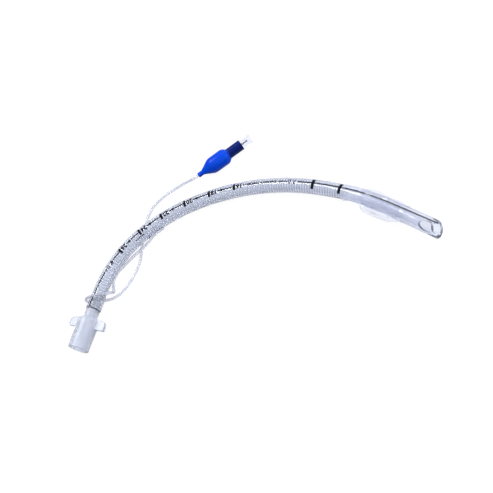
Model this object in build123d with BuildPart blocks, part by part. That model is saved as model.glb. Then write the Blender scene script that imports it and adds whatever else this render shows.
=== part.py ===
import os
from math import atan2, cos, degrees, pi, radians, sin, tan

from build123d import *

# Reinforced (wire-coil) endotracheal tube with a cuff, millimetres.
# The origin is the centre of the connector's machine end. +X runs up the connector into the tube,
# the tube curves round towards -Y, and +Z points up from the table it lies on.

# Tube wall
lumen_radius = 3.5
shaft_radius = 5.3
inflation_lumen_radius = 0.25
inflation_lumen_offset = 4.85
inflation_lumen_angle = -15.0

# Preset curve: bend radius and turn of each stretch, from the connector to the joint with the soft tip
spigot_clearance = 1.0
shaft_bends = [(81.0, 40.0), (121.0, 20.0), (168.0, 29.0), (207.0, 9.5)]
tip_bend_radius = 207.0
tip_bend_turn = 10.5
tip_straight = 42.5

# Connector
cone_mouth_radius = 7.6
cone_taper = 40.0
cone_length = 20.0
cone_bore_radius = 6.1
cone_bore_stop = 3.0
mouth_chamfer = 0.3
collar_length = 2.2
shoulder_length = 2.4
shoulder_step = 0.6
neck_radius = 5.0
neck_run = 6.1
throat_offset = 2.4
spigot_radius = 3.75
spigot_bore_radius = 3.05
spigot_length = 12.0
spigot_lead = 1.0
spigot_lead_drop = 0.4
wing_span = 31.0
wing_length = 7.1
wing_lap = 3.7
wing_thickness = 3.0
wing_corner = 3.6
wing_edge = 0.6
wing_root = 0.5

# Flared end of the tube over the connector's spigot
flare_wall = 1.8
flare_length = 9.5
flare_blend = 2.3
step_clearance = 0.2
step_blend = 0.4

# Wire coil in the wall, opened out where it passes over the spigot
coil_radius = 4.28
coil_pitch = 2.0
coil_wire = 0.5
coil_sides = 8
coil_margin = 1.2

# Soft tip
tip_radius = 5.65
bevel_angle = 38.0
eye_length = 11.5
eye_width = 6.6
eye_from_nose = 12.4
eye_angle = 56.0
port_radius = 0.5
port_from_nose = 54.5

# Cuff
cuff_film = 0.25
cuff_front = 31.5
cuff_rear = 68.5
cuff_collar = 3.5
cuff_side_swell = 3.2
cuff_side_shift = 1.7
cuff_fullness = 0.7
cuff_skew = 1.5
cuff_sections = 7

# Inflation line
line_diameter = 2.2

# Pilot balloon, along its own axis from the end of its neck
balloon_neck_at = (147.5, -46.1)
balloon_heading = -43.5
neck_outer_radius = 1.9
neck_length = 4.0
neck_socket = 2.5
passage_radius = 0.7
bulb_start = 11.2
bulb_end = 25.4
bulb_radius = 6.2
bulb_rounding = 0.5
bulb_front_blend = 2.0
bulb_rear_blend = 1.5
bulb_wall = 0.6
sleeve_start = 27.6
sleeve_end = 39.3
sleeve_radius = 4.0

# One-way valve in the balloon's sleeve
valve_radius = 3.1
valve_start = 28.0
valve_end = 47.9
valve_flange_radius = 3.6
valve_flange = 1.5
valve_flange_blend = 0.6
valve_lead = 1.2
luer_mouth_radius = 2.14
luer_taper = 0.03
luer_depth = 7.4
seat_wall = 1.0
seat_hole_radius = 1.0
chamber_radius = 2.2
retainer_thickness = 2.0
retainer_hole_radius = 0.6
seal_thickness = 1.0
poppet_thickness = 1.2
poppet_radius = 1.8
stem_radius = 0.75
stem_reach = 4.2
stem_guide_radius = 0.6
stem_guide = 4.0
spring_radius = 1.25
spring_wire = 0.35
spring_turns = 4
spring_sides = 10
spring_gap = 0.05

cone_bore_depth = cone_length - cone_bore_stop
shoulder_start = cone_length + collar_length
shoulder_end = shoulder_start + shoulder_length
neck_end = shoulder_end + neck_run
throat_start = cone_length + throat_offset
wing_start = cone_length - wing_lap
wing_end = wing_start + wing_length
shaft_straight = spigot_length + spigot_clearance
cone_end_radius = cone_mouth_radius + cone_length / cone_taper / 2
table_z = -cone_end_radius
flare_radius = spigot_radius + flare_wall

# Route of the inflation line, hand-placed: out of its notch along the inside of the curve, round the
# tube once near the connector, back beneath the tube and across to the pilot balloon
line_floor = table_z + line_diameter / 2
bulb_floor = table_z + bulb_radius
line_route = [
    (102.3, -32.8, -1.5),
    (97.2, -27.3, -1.5),
    (91.8, -24.3, -2.4),
    (86.5, -20.9, -3.4),
    (78.5, -15.0, -3.4),
    (73.5, -10.5, -5.2),
    (69.0, -6.0, line_floor),
    (63.5, -2.9, line_floor),
    (57.0, -2.2, line_floor),
    (51.6, -4.8, line_floor),
    (47.6, -10.0, -3.2),
    (44.8, -11.5, 2.9),
    (41.2, -7.9, 8.2),
    (38.2, -1.2, 10.2),
    (36.1, 5.3, 9.0),
    (35.6, 9.9, 3.4),
    (37.4, 9.0, -3.2),
    (39.6, 3.6, line_floor),
    (41.6, -2.8, line_floor),
    (44.0, -8.4, line_floor),
    (47.8, -12.6, line_floor),
    (53.0, -15.6, line_floor),
    (59.5, -17.6, line_floor),
    (66.5, -19.2, line_floor),
    (73.5, -19.6, line_floor),
    (80.0, -18.3, line_floor),
    (86.0, -16.2, line_floor),
    (92.5, -14.8, line_floor),
    (99.0, -13.8, line_floor),
    (106.0, -12.3, line_floor),
    (113.0, -11.4, line_floor),
    (120.0, -12.7, line_floor),
    (126.2, -15.8, line_floor),
    (132.2, -20.7, line_floor),
    (138.1, -27.2, line_floor),
    (142.6, -36.0, -4.4),
]


def place_on(plane, along, side=0.0, up=0.0):
    """Point at a distance along a plane's normal, with side and up measured in the plane."""
    return plane.origin + plane.z_dir * along + plane.x_dir * side + plane.y_dir * up


def section_plane(point, heading):
    """Plane across the tube: normal along the tube, local x to the inside of the curve, local y up."""
    along = Vector(cos(radians(heading)), sin(radians(heading)), 0)
    inside = Vector(sin(radians(heading)), -cos(radians(heading)), 0)
    return Plane(origin=point, x_dir=inside, z_dir=along)


def bend_end(plane, radius, turn):
    """Section plane after a bend to the inside of the curve."""
    heading = degrees(atan2(plane.z_dir.Y, plane.z_dir.X))
    centre = plane.origin + plane.x_dir * radius
    new_heading = heading - turn
    outward = Vector(-sin(radians(new_heading)), cos(radians(new_heading)), 0)
    return section_plane(centre + outward * radius, new_heading)


def bend_axis(plane, radius):
    """Axis that a bend turns about, so that a positive turn goes to the inside of the curve."""
    return Axis(plane.origin + plane.x_dir * radius, (0, 0, -1))


def facet_coil(points, wire_size, side_dir):
    """Square wire that follows a polygonal coil."""
    with BuildPart() as coil:
        with BuildLine() as coil_line:
            Polyline(*points)
        start = Vector(*points[0])
        first_run = Vector(*points[1]) - start
        with BuildSketch(Plane(origin=start, x_dir=side_dir, z_dir=first_run)):
            Rectangle(wire_size, wire_size)
        sweep(path=coil_line.wires()[0], transition=Transition.RIGHT)
    return coil


# Section planes along the tube's axis
tube_start = section_plane(Vector(neck_end, 0, 0), 0)
bends_start = section_plane(Vector(neck_end + shaft_straight, 0, 0), 0)
bend_starts = [bends_start]
for bend_radius, bend_turn in shaft_bends:
    bend_starts.append(bend_end(bend_starts[-1], bend_radius, bend_turn))
tip_joint = bend_starts[-1]
tip_bend_end = bend_end(tip_joint, tip_bend_radius, tip_bend_turn)
nose_heading = degrees(atan2(tip_bend_end.z_dir.Y, tip_bend_end.z_dir.X))
nose = section_plane(place_on(tip_bend_end, tip_straight), nose_heading)

# Axis of the whole shaft, for lengths measured along it
with BuildLine() as shaft_axis:
    Line(tube_start.origin, bends_start.origin)
    for plane, (bend_radius, bend_turn) in zip(bend_starts, shaft_bends):
        JernArc(plane.origin, plane.z_dir, bend_radius, -bend_turn)
shaft_curve = shaft_axis.wires()[0]


def from_nose(distance):
    """Section plane of the soft tip at a distance from its nose."""
    if distance <= tip_straight:
        return Plane(origin=place_on(nose, -distance), x_dir=nose.x_dir, z_dir=nose.z_dir)
    turn_back = degrees((distance - tip_straight) / tip_bend_radius)
    return bend_end(tip_bend_end, tip_bend_radius, -turn_back)


# Connector: a 15 mm cone for the breathing circuit, two wings, and a spigot that holds the tube
with BuildPart() as connector:
    with BuildSketch(Plane.XZ):
        with BuildLine():
            Polyline(
                (0, cone_bore_radius + mouth_chamfer),
                (0, cone_mouth_radius - mouth_chamfer),
                (mouth_chamfer, cone_mouth_radius),
                (cone_length, cone_end_radius),
                (shoulder_start, cone_end_radius),
                (shoulder_end, neck_radius + shoulder_step),
                (shoulder_end, neck_radius),
                (neck_end, neck_radius),
                (neck_end, spigot_radius),
                (neck_end + spigot_length - spigot_lead, spigot_radius),
                (neck_end + spigot_length, spigot_radius - spigot_lead_drop),
                (neck_end + spigot_length, spigot_bore_radius),
                (throat_start, spigot_bore_radius),
                (cone_bore_depth, cone_bore_radius),
                (mouth_chamfer, cone_bore_radius),
                close=True,
            )
        make_face()
    revolve(axis=Axis.X)
    wing_middle = (wing_start + wing_end) / 2
    wing_reach = wing_span / 2 - cone_bore_radius - wing_root
    for side in (1, -1):
        with BuildSketch(Plane.XY.offset(-wing_thickness / 2)) as wing:
            with Locations((wing_middle, side * (wing_span / 2 - wing_reach / 2))):
                Rectangle(wing_length, wing_reach)
            outer_edge = wing.edges().sort_by(Axis.Y)[-1 if side > 0 else 0]
            outer_corners = outer_edge.vertices().sort_by(Axis.X)
            fillet(outer_corners[1], radius=wing_corner)
            fillet(wing.vertices().sort_by_distance(outer_corners[0])[0], radius=wing_edge)
        extrude(amount=wing_thickness)
connector.part.label = "connector"

# Shaft: the clear wall of the reinforced part, with its flared end, lumen and inflation lumen
with BuildPart() as shaft:
    with BuildSketch(Plane.XZ):
        with BuildLine():
            Polyline(
                (neck_end, spigot_radius),
                (neck_end, flare_radius),
                (neck_end + flare_length, flare_radius),
                (neck_end + flare_length + flare_blend, shaft_radius),
                (neck_end + shaft_straight, shaft_radius),
                (neck_end + shaft_straight, lumen_radius),
                (neck_end + spigot_length + step_clearance + step_blend, lumen_radius),
                (neck_end + spigot_length + step_clearance, spigot_radius),
                close=True,
            )
        make_face()
    revolve(axis=Axis.X)
    lumen_side = inflation_lumen_offset * cos(radians(inflation_lumen_angle))
    lumen_up = inflation_lumen_offset * sin(radians(inflation_lumen_angle))
    for plane, (bend_radius, bend_turn) in zip(bend_starts, shaft_bends):
        with BuildSketch(plane):
            Circle(shaft_radius)
            Circle(lumen_radius, mode=Mode.SUBTRACT)
            with Locations((lumen_side, lumen_up)):
                Circle(inflation_lumen_radius, mode=Mode.SUBTRACT)
        revolve(axis=bend_axis(plane, bend_radius), revolution_arc=bend_turn)
    notch_start = Vector(*line_route[0])
    notch_run = Vector(*line_route[1]) - notch_start
    with BuildSketch(Plane(origin=notch_start, z_dir=notch_run)):
        Circle(line_diameter / 2)
    extrude(amount=notch_run.length * 2, mode=Mode.SUBTRACT)
shaft.part.label = "shaft"

# Wire coil: one steel wire wound from end to end of the reinforced wall
coil_run = shaft_curve.length - 2 * coil_margin
coil_steps = int(coil_run / coil_pitch * coil_sides)
coil_flare_radius = spigot_radius + flare_wall / 2
coil_points = []
for step in range(coil_steps + 1):
    travelled = coil_margin + step * coil_pitch / coil_sides
    where = travelled / shaft_curve.length
    tangent = shaft_curve % where
    plane = section_plane(shaft_curve @ where, degrees(atan2(tangent.Y, tangent.X)))
    closing = min(max((travelled - flare_length) / flare_blend, 0), 1)
    turn_radius = coil_flare_radius + (coil_radius - coil_flare_radius) * closing
    angle = 2 * pi * step / coil_sides
    coil_points.append(place_on(plane, 0, turn_radius * cos(angle), turn_radius * sin(angle)))
wire_spiral = facet_coil(coil_points, coil_wire, tube_start.x_dir)
wire_spiral.part.label = "wire_spiral"

# Soft tip: bonded to the end of the shaft, with a side eye, a bevelled nose and the inflation port
eye_direction = Vector(0, 0, 1) * sin(radians(eye_angle)) + nose.x_dir * cos(radians(eye_angle))
with BuildPart() as distal_tip:
    with BuildSketch(tip_joint):
        Circle(tip_radius)
        Circle(lumen_radius, mode=Mode.SUBTRACT)
        with Locations((lumen_side, lumen_up)):
            Circle(inflation_lumen_radius, mode=Mode.SUBTRACT)
    revolve(axis=bend_axis(tip_joint, tip_bend_radius), revolution_arc=tip_bend_turn)
    with BuildSketch(tip_bend_end):
        Circle(tip_radius)
        Circle(lumen_radius, mode=Mode.SUBTRACT)
    extrude(amount=tip_straight)
    bevel_rise = 1 / tan(radians(bevel_angle))
    bevel_normal = nose.z_dir - eye_direction * bevel_rise
    bevel_point = nose.origin + eye_direction * tip_radius
    split(bisect_by=Plane(origin=bevel_point, z_dir=bevel_normal), keep=Keep.BOTTOM)
    eye_centre = place_on(nose, -eye_from_nose)
    with BuildSketch(Plane(origin=eye_centre, x_dir=nose.z_dir, z_dir=eye_direction)):
        Ellipse(eye_length / 2, eye_width / 2)
    extrude(amount=2 * tip_radius, mode=Mode.SUBTRACT)
    port_plane = from_nose(port_from_nose)
    port_direction = port_plane.x_dir * lumen_side + port_plane.y_dir * lumen_up
    port_start = place_on(port_plane, 0, lumen_side, lumen_up)
    with BuildSketch(Plane(origin=port_start, z_dir=port_direction)):
        Circle(port_radius)
    extrude(amount=tip_radius, mode=Mode.SUBTRACT)
distal_tip.part.label = "distal_tip"

# Rod of the tip's outer size, for what is bonded round the tip
with BuildPart() as tip_rod:
    with BuildSketch(tip_joint):
        Circle(tip_radius)
    revolve(axis=bend_axis(tip_joint, tip_bend_radius), revolution_arc=tip_bend_turn)
    with BuildSketch(tip_bend_end):
        Circle(tip_radius)
    extrude(amount=tip_straight)


def cuff_body(inset):
    """Part-filled cuff as a closed form: round collars, fuller towards the inside of the curve."""
    front = cuff_front + cuff_collar
    rear = cuff_rear - cuff_collar
    collar_radius = tip_radius + cuff_film - inset
    with BuildPart() as body:
        for index in range(cuff_sections):
            share = index / (cuff_sections - 1)
            swell = sin(pi * share**cuff_skew) ** cuff_fullness if 0 < share < 1 else 0.0
            plane = from_nose(front + (rear - front) * share)
            side_radius = collar_radius + cuff_side_swell * swell
            up_radius = collar_radius + (cone_end_radius - tip_radius - cuff_film) * swell
            with BuildSketch(plane):
                with Locations((cuff_side_shift * swell, 0)):
                    Ellipse(side_radius, up_radius)
        loft()
    return body


# Cuff: thin film, bonded to the tip at a collar at each end
with BuildPart() as cuff:
    add(cuff_body(0).part)
    for collar_start in (cuff_front, cuff_rear - cuff_collar):
        if collar_start + cuff_collar <= tip_straight:
            with BuildSketch(from_nose(collar_start)):
                Circle(tip_radius + cuff_film)
            extrude(amount=-cuff_collar)
        else:
            plane = from_nose(collar_start)
            with BuildSketch(plane):
                Circle(tip_radius + cuff_film)
            collar_turn = degrees(cuff_collar / tip_bend_radius)
            revolve(axis=bend_axis(plane, tip_bend_radius), revolution_arc=-collar_turn)
    add(cuff_body(cuff_film).part, mode=Mode.SUBTRACT)
    add(tip_rod.part, mode=Mode.SUBTRACT)
cuff.part.label = "cuff"

# Pilot balloon frame: local z along its axis, from the end of its neck to the valve
balloon_along = Vector(cos(radians(balloon_heading)), sin(radians(balloon_heading)), 0)
balloon_neck = Vector(*balloon_neck_at, bulb_floor)
balloon_axis = Axis(balloon_neck, balloon_along)
balloon_half = Plane(origin=balloon_neck, x_dir=balloon_along, z_dir=(0, 0, 1))

# Inflation line: limp tube from the notch to the balloon's neck
line_end = balloon_neck + balloon_along * neck_socket
line_points = [Vector(*point) for point in line_route]
line_points.append(balloon_neck - balloon_along * neck_length)
line_points.append(line_end)
line_radii = []
for before, corner, after in zip(line_points, line_points[1:], line_points[2:]):
    run_in = corner - before
    run_out = after - corner
    half_turn = radians(run_in.get_angle(run_out)) / 2
    line_radii.append(0.45 * min(run_in.length, run_out.length) / tan(half_turn))
with BuildPart() as inflation_line:
    with BuildLine() as line_path:
        FilletPolyline(*line_points, radius=line_radii)
    with BuildSketch(Plane(origin=line_points[0], z_dir=line_points[1] - line_points[0])):
        Circle(line_diameter / 2)
    sweep(path=line_path.wires()[0])
inflation_line.part.label = "inflation_line"
line_length = line_path.wires()[0].length
print("line length", round(line_length, 1), "smallest bend radius", round(min(line_radii), 2))
print("line volume", round(inflation_line.part.volume, 1), "section times length",
      round(pi * line_diameter**2 / 4 * line_length, 1))

# Pilot balloon: neck, bulb and valve sleeve blown in one piece
with BuildPart() as pilot_balloon:
    with BuildSketch(balloon_half):
        with BuildLine():
            Polyline(
                (0, line_diameter / 2),
                (0, neck_outer_radius),
                (neck_length, neck_outer_radius),
                (bulb_start, bulb_radius - bulb_rounding),
                (bulb_start + bulb_front_blend, bulb_radius),
                (bulb_end - bulb_rear_blend, bulb_radius),
                (bulb_end, bulb_radius - bulb_rounding),
                (sleeve_start, sleeve_radius),
                (sleeve_end, sleeve_radius),
                (sleeve_end, valve_radius),
                (valve_start, valve_radius),
                (valve_start - valve_lead, sleeve_radius - bulb_wall),
                (bulb_end - bulb_wall, bulb_radius - bulb_wall - bulb_rounding),
                (bulb_end - bulb_wall - bulb_rear_blend, bulb_radius - bulb_wall),
                (bulb_start + bulb_front_blend, bulb_radius - bulb_wall),
                (bulb_start + bulb_wall, bulb_radius - bulb_wall - bulb_rounding),
                (neck_length + bulb_wall, passage_radius),
                (neck_socket, passage_radius),
                (neck_socket, line_diameter / 2),
                close=True,
            )
        make_face()
    revolve(axis=balloon_axis)
pilot_balloon.part.label = "pilot_balloon"

# Valve body: clear hub with a tapered socket for a syringe, a seat and a spring chamber
luer_start = valve_end - luer_depth
luer_bottom_radius = luer_mouth_radius - luer_taper * luer_depth
seat_start = luer_start - seat_wall
with BuildPart() as valve_body:
    with BuildSketch(balloon_half):
        with BuildLine():
            Polyline(
                (valve_start, chamber_radius),
                (valve_start, valve_radius),
                (valve_end - valve_flange - valve_flange_blend, valve_radius),
                (valve_end - valve_flange, valve_flange_radius),
                (valve_end, valve_flange_radius),
                (valve_end, luer_mouth_radius),
                (luer_start, luer_bottom_radius),
                (luer_start, seat_hole_radius),
                (seat_start, seat_hole_radius),
                (seat_start, chamber_radius),
                close=True,
            )
        make_face()
    revolve(axis=balloon_axis)
valve_body.part.label = "valve_body"

# Valve retainer: disc pressed into the chamber, which the spring stands on
spring_start = valve_start + retainer_thickness
with BuildPart() as valve_retainer:
    with BuildSketch(balloon_half):
        with BuildLine():
            Polyline(
                (valve_start, retainer_hole_radius),
                (valve_start, chamber_radius),
                (spring_start, chamber_radius),
                (spring_start, retainer_hole_radius),
                close=True,
            )
        make_face()
    revolve(axis=balloon_axis)
valve_retainer.part.label = "valve_retainer"

# Valve seal: soft ring on the stem that closes the seat
seal_start = seat_start - seal_thickness
with BuildPart() as valve_seal:
    with BuildSketch(balloon_half):
        with BuildLine():
            Polyline(
                (seal_start, stem_radius),
                (seal_start, poppet_radius),
                (seat_start, poppet_radius),
                (seat_start, stem_radius),
                close=True,
            )
        make_face()
    revolve(axis=balloon_axis)
valve_seal.part.label = "valve_seal"

# Valve stem: pushed in by the syringe against the spring
poppet_start = seal_start - poppet_thickness
with BuildPart() as valve_stem:
    with BuildSketch(balloon_half):
        with BuildLine():
            Polyline(
                (poppet_start - stem_guide, 0),
                (poppet_start - stem_guide, stem_guide_radius),
                (poppet_start, stem_guide_radius),
                (poppet_start, poppet_radius),
                (seal_start, poppet_radius),
                (seal_start, stem_radius),
                (luer_start + stem_reach, stem_radius),
                (luer_start + stem_reach, 0),
                close=True,
            )
        make_face()
    revolve(axis=balloon_axis)
valve_stem.part.label = "valve_stem"

# Valve spring: small square-wire coil between the retainer and the poppet
spring_room = poppet_start - spring_start - spring_wire - 2 * spring_gap
spring_side = balloon_half.y_dir
spring_points = []
for step in range(spring_turns * spring_sides + 1):
    angle = 2 * pi * step / spring_sides
    risen = spring_room * step / (spring_turns * spring_sides)
    along = spring_start + spring_wire / 2 + spring_gap + risen
    spring_points.append(
        balloon_neck
        + balloon_along * along
        + spring_side * (spring_radius * cos(angle))
        + Vector(0, 0, 1) * (spring_radius * sin(angle))
    )
valve_spring = facet_coil(spring_points, spring_wire, balloon_along)
valve_spring.part.label = "valve_spring"

os.makedirs("parts", exist_ok=True)
for piece in (
    connector,
    shaft,
    wire_spiral,
    distal_tip,
    cuff,
    inflation_line,
    pilot_balloon,
    valve_body,
    valve_retainer,
    valve_seal,
    valve_stem,
    valve_spring,
):
    export_step(piece.part, f"parts/{piece.part.label}.step")
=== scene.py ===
import math

import bmesh
import bpy
import numpy as np
from mathutils import Matrix, Vector


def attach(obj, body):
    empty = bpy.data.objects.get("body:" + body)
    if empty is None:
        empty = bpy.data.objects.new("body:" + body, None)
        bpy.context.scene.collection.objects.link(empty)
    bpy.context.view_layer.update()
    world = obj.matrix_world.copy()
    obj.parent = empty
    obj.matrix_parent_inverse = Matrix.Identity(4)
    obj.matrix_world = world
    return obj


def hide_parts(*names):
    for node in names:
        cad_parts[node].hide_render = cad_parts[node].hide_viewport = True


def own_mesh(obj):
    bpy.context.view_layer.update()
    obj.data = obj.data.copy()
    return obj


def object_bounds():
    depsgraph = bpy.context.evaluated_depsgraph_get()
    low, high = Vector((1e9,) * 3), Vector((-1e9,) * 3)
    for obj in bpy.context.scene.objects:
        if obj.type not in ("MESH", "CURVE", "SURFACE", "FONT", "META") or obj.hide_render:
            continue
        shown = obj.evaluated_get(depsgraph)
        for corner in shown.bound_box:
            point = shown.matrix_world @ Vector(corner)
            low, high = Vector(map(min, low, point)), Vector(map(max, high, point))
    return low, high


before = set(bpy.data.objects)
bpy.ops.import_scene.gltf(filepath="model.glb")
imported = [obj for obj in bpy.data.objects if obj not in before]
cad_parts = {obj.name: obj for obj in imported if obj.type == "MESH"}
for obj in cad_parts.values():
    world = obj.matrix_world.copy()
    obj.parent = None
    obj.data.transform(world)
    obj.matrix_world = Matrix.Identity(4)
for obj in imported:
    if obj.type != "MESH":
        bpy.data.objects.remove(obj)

cad_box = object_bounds()

# Reinforced endotracheal tube lying on a table, metres, in the part's own frame
MM = 0.001
UP = np.array((0.0, 0.0, 1.0))
TABLE_Z = cad_box[0].z

# Tube axis: straight on the connector, four bends to the inside of the curve, straight at the nose
TUBE_END_X = 30.7 * MM
END_STRAIGHT = 13.0 * MM
BENDS = ((81.0 * MM, 40.0), (121.0 * MM, 20.0), (168.0 * MM, 29.0), (207.0 * MM, 20.0))
NOSE_STRAIGHT = 42.5 * MM
TIP_BEND = math.radians(10.5) * 207.0 * MM
STRETCHES = [(END_STRAIGHT, None)]
STRETCHES += [(radius * math.radians(turn), radius) for radius, turn in BENDS]
STRETCHES += [(NOSE_STRAIGHT, None)]
TUBE_LENGTH = sum(length for length, radius in STRETCHES)

# Shaft wall, its flared end over the spigot, and the wire in it
SHAFT_END = TUBE_LENGTH - NOSE_STRAIGHT - TIP_BEND
SHAFT_RADIUS = 5.3 * MM
LUMEN_RADIUS = 3.5 * MM
FLARE_RADIUS = 5.55 * MM
FLARE_LENGTH = 9.5 * MM
FLARE_BLEND = 2.3 * MM
SPIGOT_RADIUS = 3.77 * MM
SPIGOT_LENGTH = 12.2 * MM
END_ROUNDING = 0.25 * MM
JOINT_GAP = 0.05 * MM
TUBE_SIDES = 96
RING_STEP = 1.6 * MM
FLARE_FIRST_RING = 2.0 * MM
FLARE_RINGS = 6
LUMEN_STEP = 0.4 * MM
COIL_RADIUS = 4.28 * MM
COIL_PITCH = 2.0 * MM
COIL_WIRE = 0.5 * MM
COIL_FLARE_RADIUS = 4.66 * MM
COIL_MARGIN = 1.2 * MM
COIL_STEPS_PER_TURN = 28
COIL_SIDES = 8
COIL_AXIS_POINTS = 400

# Cuff film on the soft tip, by distance from the nose
TIP_RADIUS = 5.65 * MM
CUFF_FRONT = 31.5 * MM
CUFF_REAR = 68.5 * MM
CUFF_COLLAR = 3.0 * MM
CUFF_FILM = 0.12 * MM
CUFF_CLEARANCE = 0.06 * MM
CUFF_RINGS = 110
CUFF_SIDES = 180

# Printed line: mm along the tube, and degrees from the inside of the curve over the top
LINE_ANGLE_KNOTS = ((0.0, 92.0), (50.0, 82.0), (115.0, 87.0), (180.0, 91.0), (240.0, 97.0), (312.0, 112.0))
LINE_WIDTH = 0.9 * MM
LINE_START = 1.0 * MM
LINE_STOP = 6.0 * MM
INK_LIFT = 0.01 * MM
INK_THICKNESS = 0.04 * MM

# Depth marks in centimetres, counted from MARK_ZERO towards the connector
MARK_ZERO = 307.6 * MM
DEPTH_MARKS = (16, 18, 20, 22, 24, 26)
BAR_LENGTH = 1.8 * MM
BAR_REACH = 2.5 * MM
NUMERAL_HEIGHT = 3.3 * MM
NUMERAL_STROKE = 0.065
NUMERAL_SHARE_OF_SIZE = 0.69
NUMERAL_SPACING = 1.05
NUMERAL_GAP = 0.7 * MM
NUMERAL_ROOM = 7.0 * MM
DOT_AFTER = 10.0 * MM
DOT_RADIUS = 1.0 * MM

# Size figures, ring marks and plain ticks, by distance from MARK_ZERO
SIZE_MARKS = (276.0 * MM, 118.0 * MM)
SIZE_HEIGHT = 3.4 * MM
SIZE_STROKE = 0.02
SIZE_ROOM = (0.6 * MM, 7.4 * MM)
RING_MARKS = (98.9 * MM, 78.0 * MM)
RING_REACH = 1.1 * MM
RING_ANGLES = (46.0, 132.0)
TICK_ROWS = (151.0 * MM, 137.5 * MM)
TICK_COUNT = 8
TICK_STEP = 1.35 * MM
TICK_LENGTHS = (0.7 * MM, 1.05 * MM, 1.05 * MM)
TICK_REACH = 0.75 * MM
TICK_ROOM = (0.8 * MM, 0.6 * MM)
SIDE_TICKS_AT = 246.0 * MM
SIDE_TICK_COUNT = 6
SIDE_TICK_STEP = 1.4 * MM
SIDE_TICK_LENGTH = 0.95 * MM
SIDE_TICK_BAND = (-3.9 * MM, -3.0 * MM)

# Reach of the flat print to each side of the line, and the steps at which it is cut to bend with the wall
PRINT_REACH = 5.0 * MM
BEND_STEP_ROUND = 0.4 * MM
BEND_STEP_ALONG = 3.0 * MM

# Inflation line and pilot balloon: the route's points are listed one by one, as in the part
LINE_DIAMETER = 2.2 * MM
LINE_BORE = 0.56 * LINE_DIAMETER
LINE_SIDES = 24
NOTCH_CLEARANCE = 0.02 * MM
NOTCH_PLACE = 0.98
LINE_FLOOR = TABLE_Z + LINE_DIAMETER / 2
BALLOON_Z = TABLE_Z + 6.2 * MM
BALLOON_ALONG = Vector((0.7256, -0.6881, 0.0))
SLEEVE_AFTER = 24.0 * MM
LINE_ROUTE = [
    (0.1023, -0.0328, -0.0015),
    (0.0972, -0.0273, -0.0015),
    (0.0918, -0.0243, -0.0024),
    (0.0865, -0.0209, -0.0034),
    (0.0785, -0.0150, -0.0034),
    (0.0735, -0.0105, -0.0052),
    (0.0690, -0.0060, LINE_FLOOR),
    (0.0635, -0.0029, LINE_FLOOR),
    (0.0570, -0.0022, LINE_FLOOR),
    (0.0516, -0.0048, LINE_FLOOR),
    (0.0476, -0.0100, -0.0032),
    (0.0448, -0.0115, 0.0029),
    (0.0412, -0.0079, 0.0080),
    (0.0382, -0.0015, 0.0092),
    (0.0361, 0.0045, 0.0072),
    (0.0356, 0.0080, 0.0014),
    (0.0374, 0.0070, -0.0043),
    (0.0396, 0.0031, LINE_FLOOR),
    (0.0416, -0.0028, LINE_FLOOR),
    (0.0440, -0.0084, LINE_FLOOR),
    (0.0478, -0.0126, LINE_FLOOR),
    (0.0530, -0.0156, LINE_FLOOR),
    (0.0595, -0.0176, LINE_FLOOR),
    (0.0665, -0.0192, LINE_FLOOR),
    (0.0735, -0.0196, LINE_FLOOR),
    (0.0800, -0.0183, LINE_FLOOR),
    (0.0860, -0.0162, LINE_FLOOR),
    (0.0925, -0.0148, LINE_FLOOR),
    (0.0990, -0.0138, LINE_FLOOR),
    (0.1060, -0.0123, LINE_FLOOR),
    (0.1130, -0.0114, LINE_FLOOR),
    (0.1200, -0.0127, LINE_FLOOR),
    (0.1262, -0.0158, LINE_FLOOR),
    (0.1322, -0.0207, LINE_FLOOR),
    (0.1381, -0.0272, LINE_FLOOR),
    (0.1426, -0.0360, -0.0044),
    (0.1446, -0.04335, BALLOON_Z),
    (0.14931, -0.04782, BALLOON_Z),
]

# Camera at the photograph's view: place, the point on the table it looks at, and its turn about that line
CAMERA_AT = Vector((-0.1197, -0.42481, 0.51847))
CAMERA_AIM = Vector((0.09803, -0.10169, TABLE_Z))
CAMERA_ROLL = math.radians(43.04)
CAMERA_LENS = 68.09
CAMERA_SENSOR = 36.0
CAMERA_NEAR = 0.01
CAMERA_FAR = 20.0

# Studio: lamps by direction from the tube's middle, distance, size and power
LAMPS = (
    ("far_lamp", (0.165, 0.497, 0.853), 1.2, 0.36, 6.0),
    ("right_lamp", (0.5, -0.9, 0.55), 1.2, 0.5, 3.5),
)
FLOOR_HALF = 4.0
FLOOR_MATTE = 0.16
FLOOR_GLOW = 0.92
BRIGHT_SIDE = Vector((0.50, -0.38, 0.78)).normalized()
BRIGHT_ENDS = (-0.35, 0.55)
BRIGHT_LEVELS = (0.15, 0.90)
WHITE_THROUGH = 0.5

# Finish of meshes: doubles nearer than this are merged, and edges past these degrees stay sharp
WELD = 0.001 * MM
SHARP_PLASTIC = 35.0
SHARP_LINE = 50.0
SHARP_FILM = 60.0
SHARP_WIRE = 60.0


def new_piece(name, mesh):
    """Object at the origin that shows a mesh."""
    piece = bpy.data.objects.new(name, mesh)
    bpy.context.scene.collection.objects.link(piece)
    return piece


def soften(mesh, sharp_degrees=SHARP_PLASTIC):
    """Smooth shading, with edges past an angle kept sharp."""
    mesh.shade_smooth()
    mesh.set_sharp_from_angle(angle=math.radians(sharp_degrees))


def place_piece(piece, material, body, slot, *nodes):
    """Material and body of a piece, and the CAD nodes it stands for, which it hides; slot is not used."""
    piece.data.materials.clear()
    piece.data.materials.append(material)
    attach(piece, body)
    if nodes:
        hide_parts(*nodes)
    return piece


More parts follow.
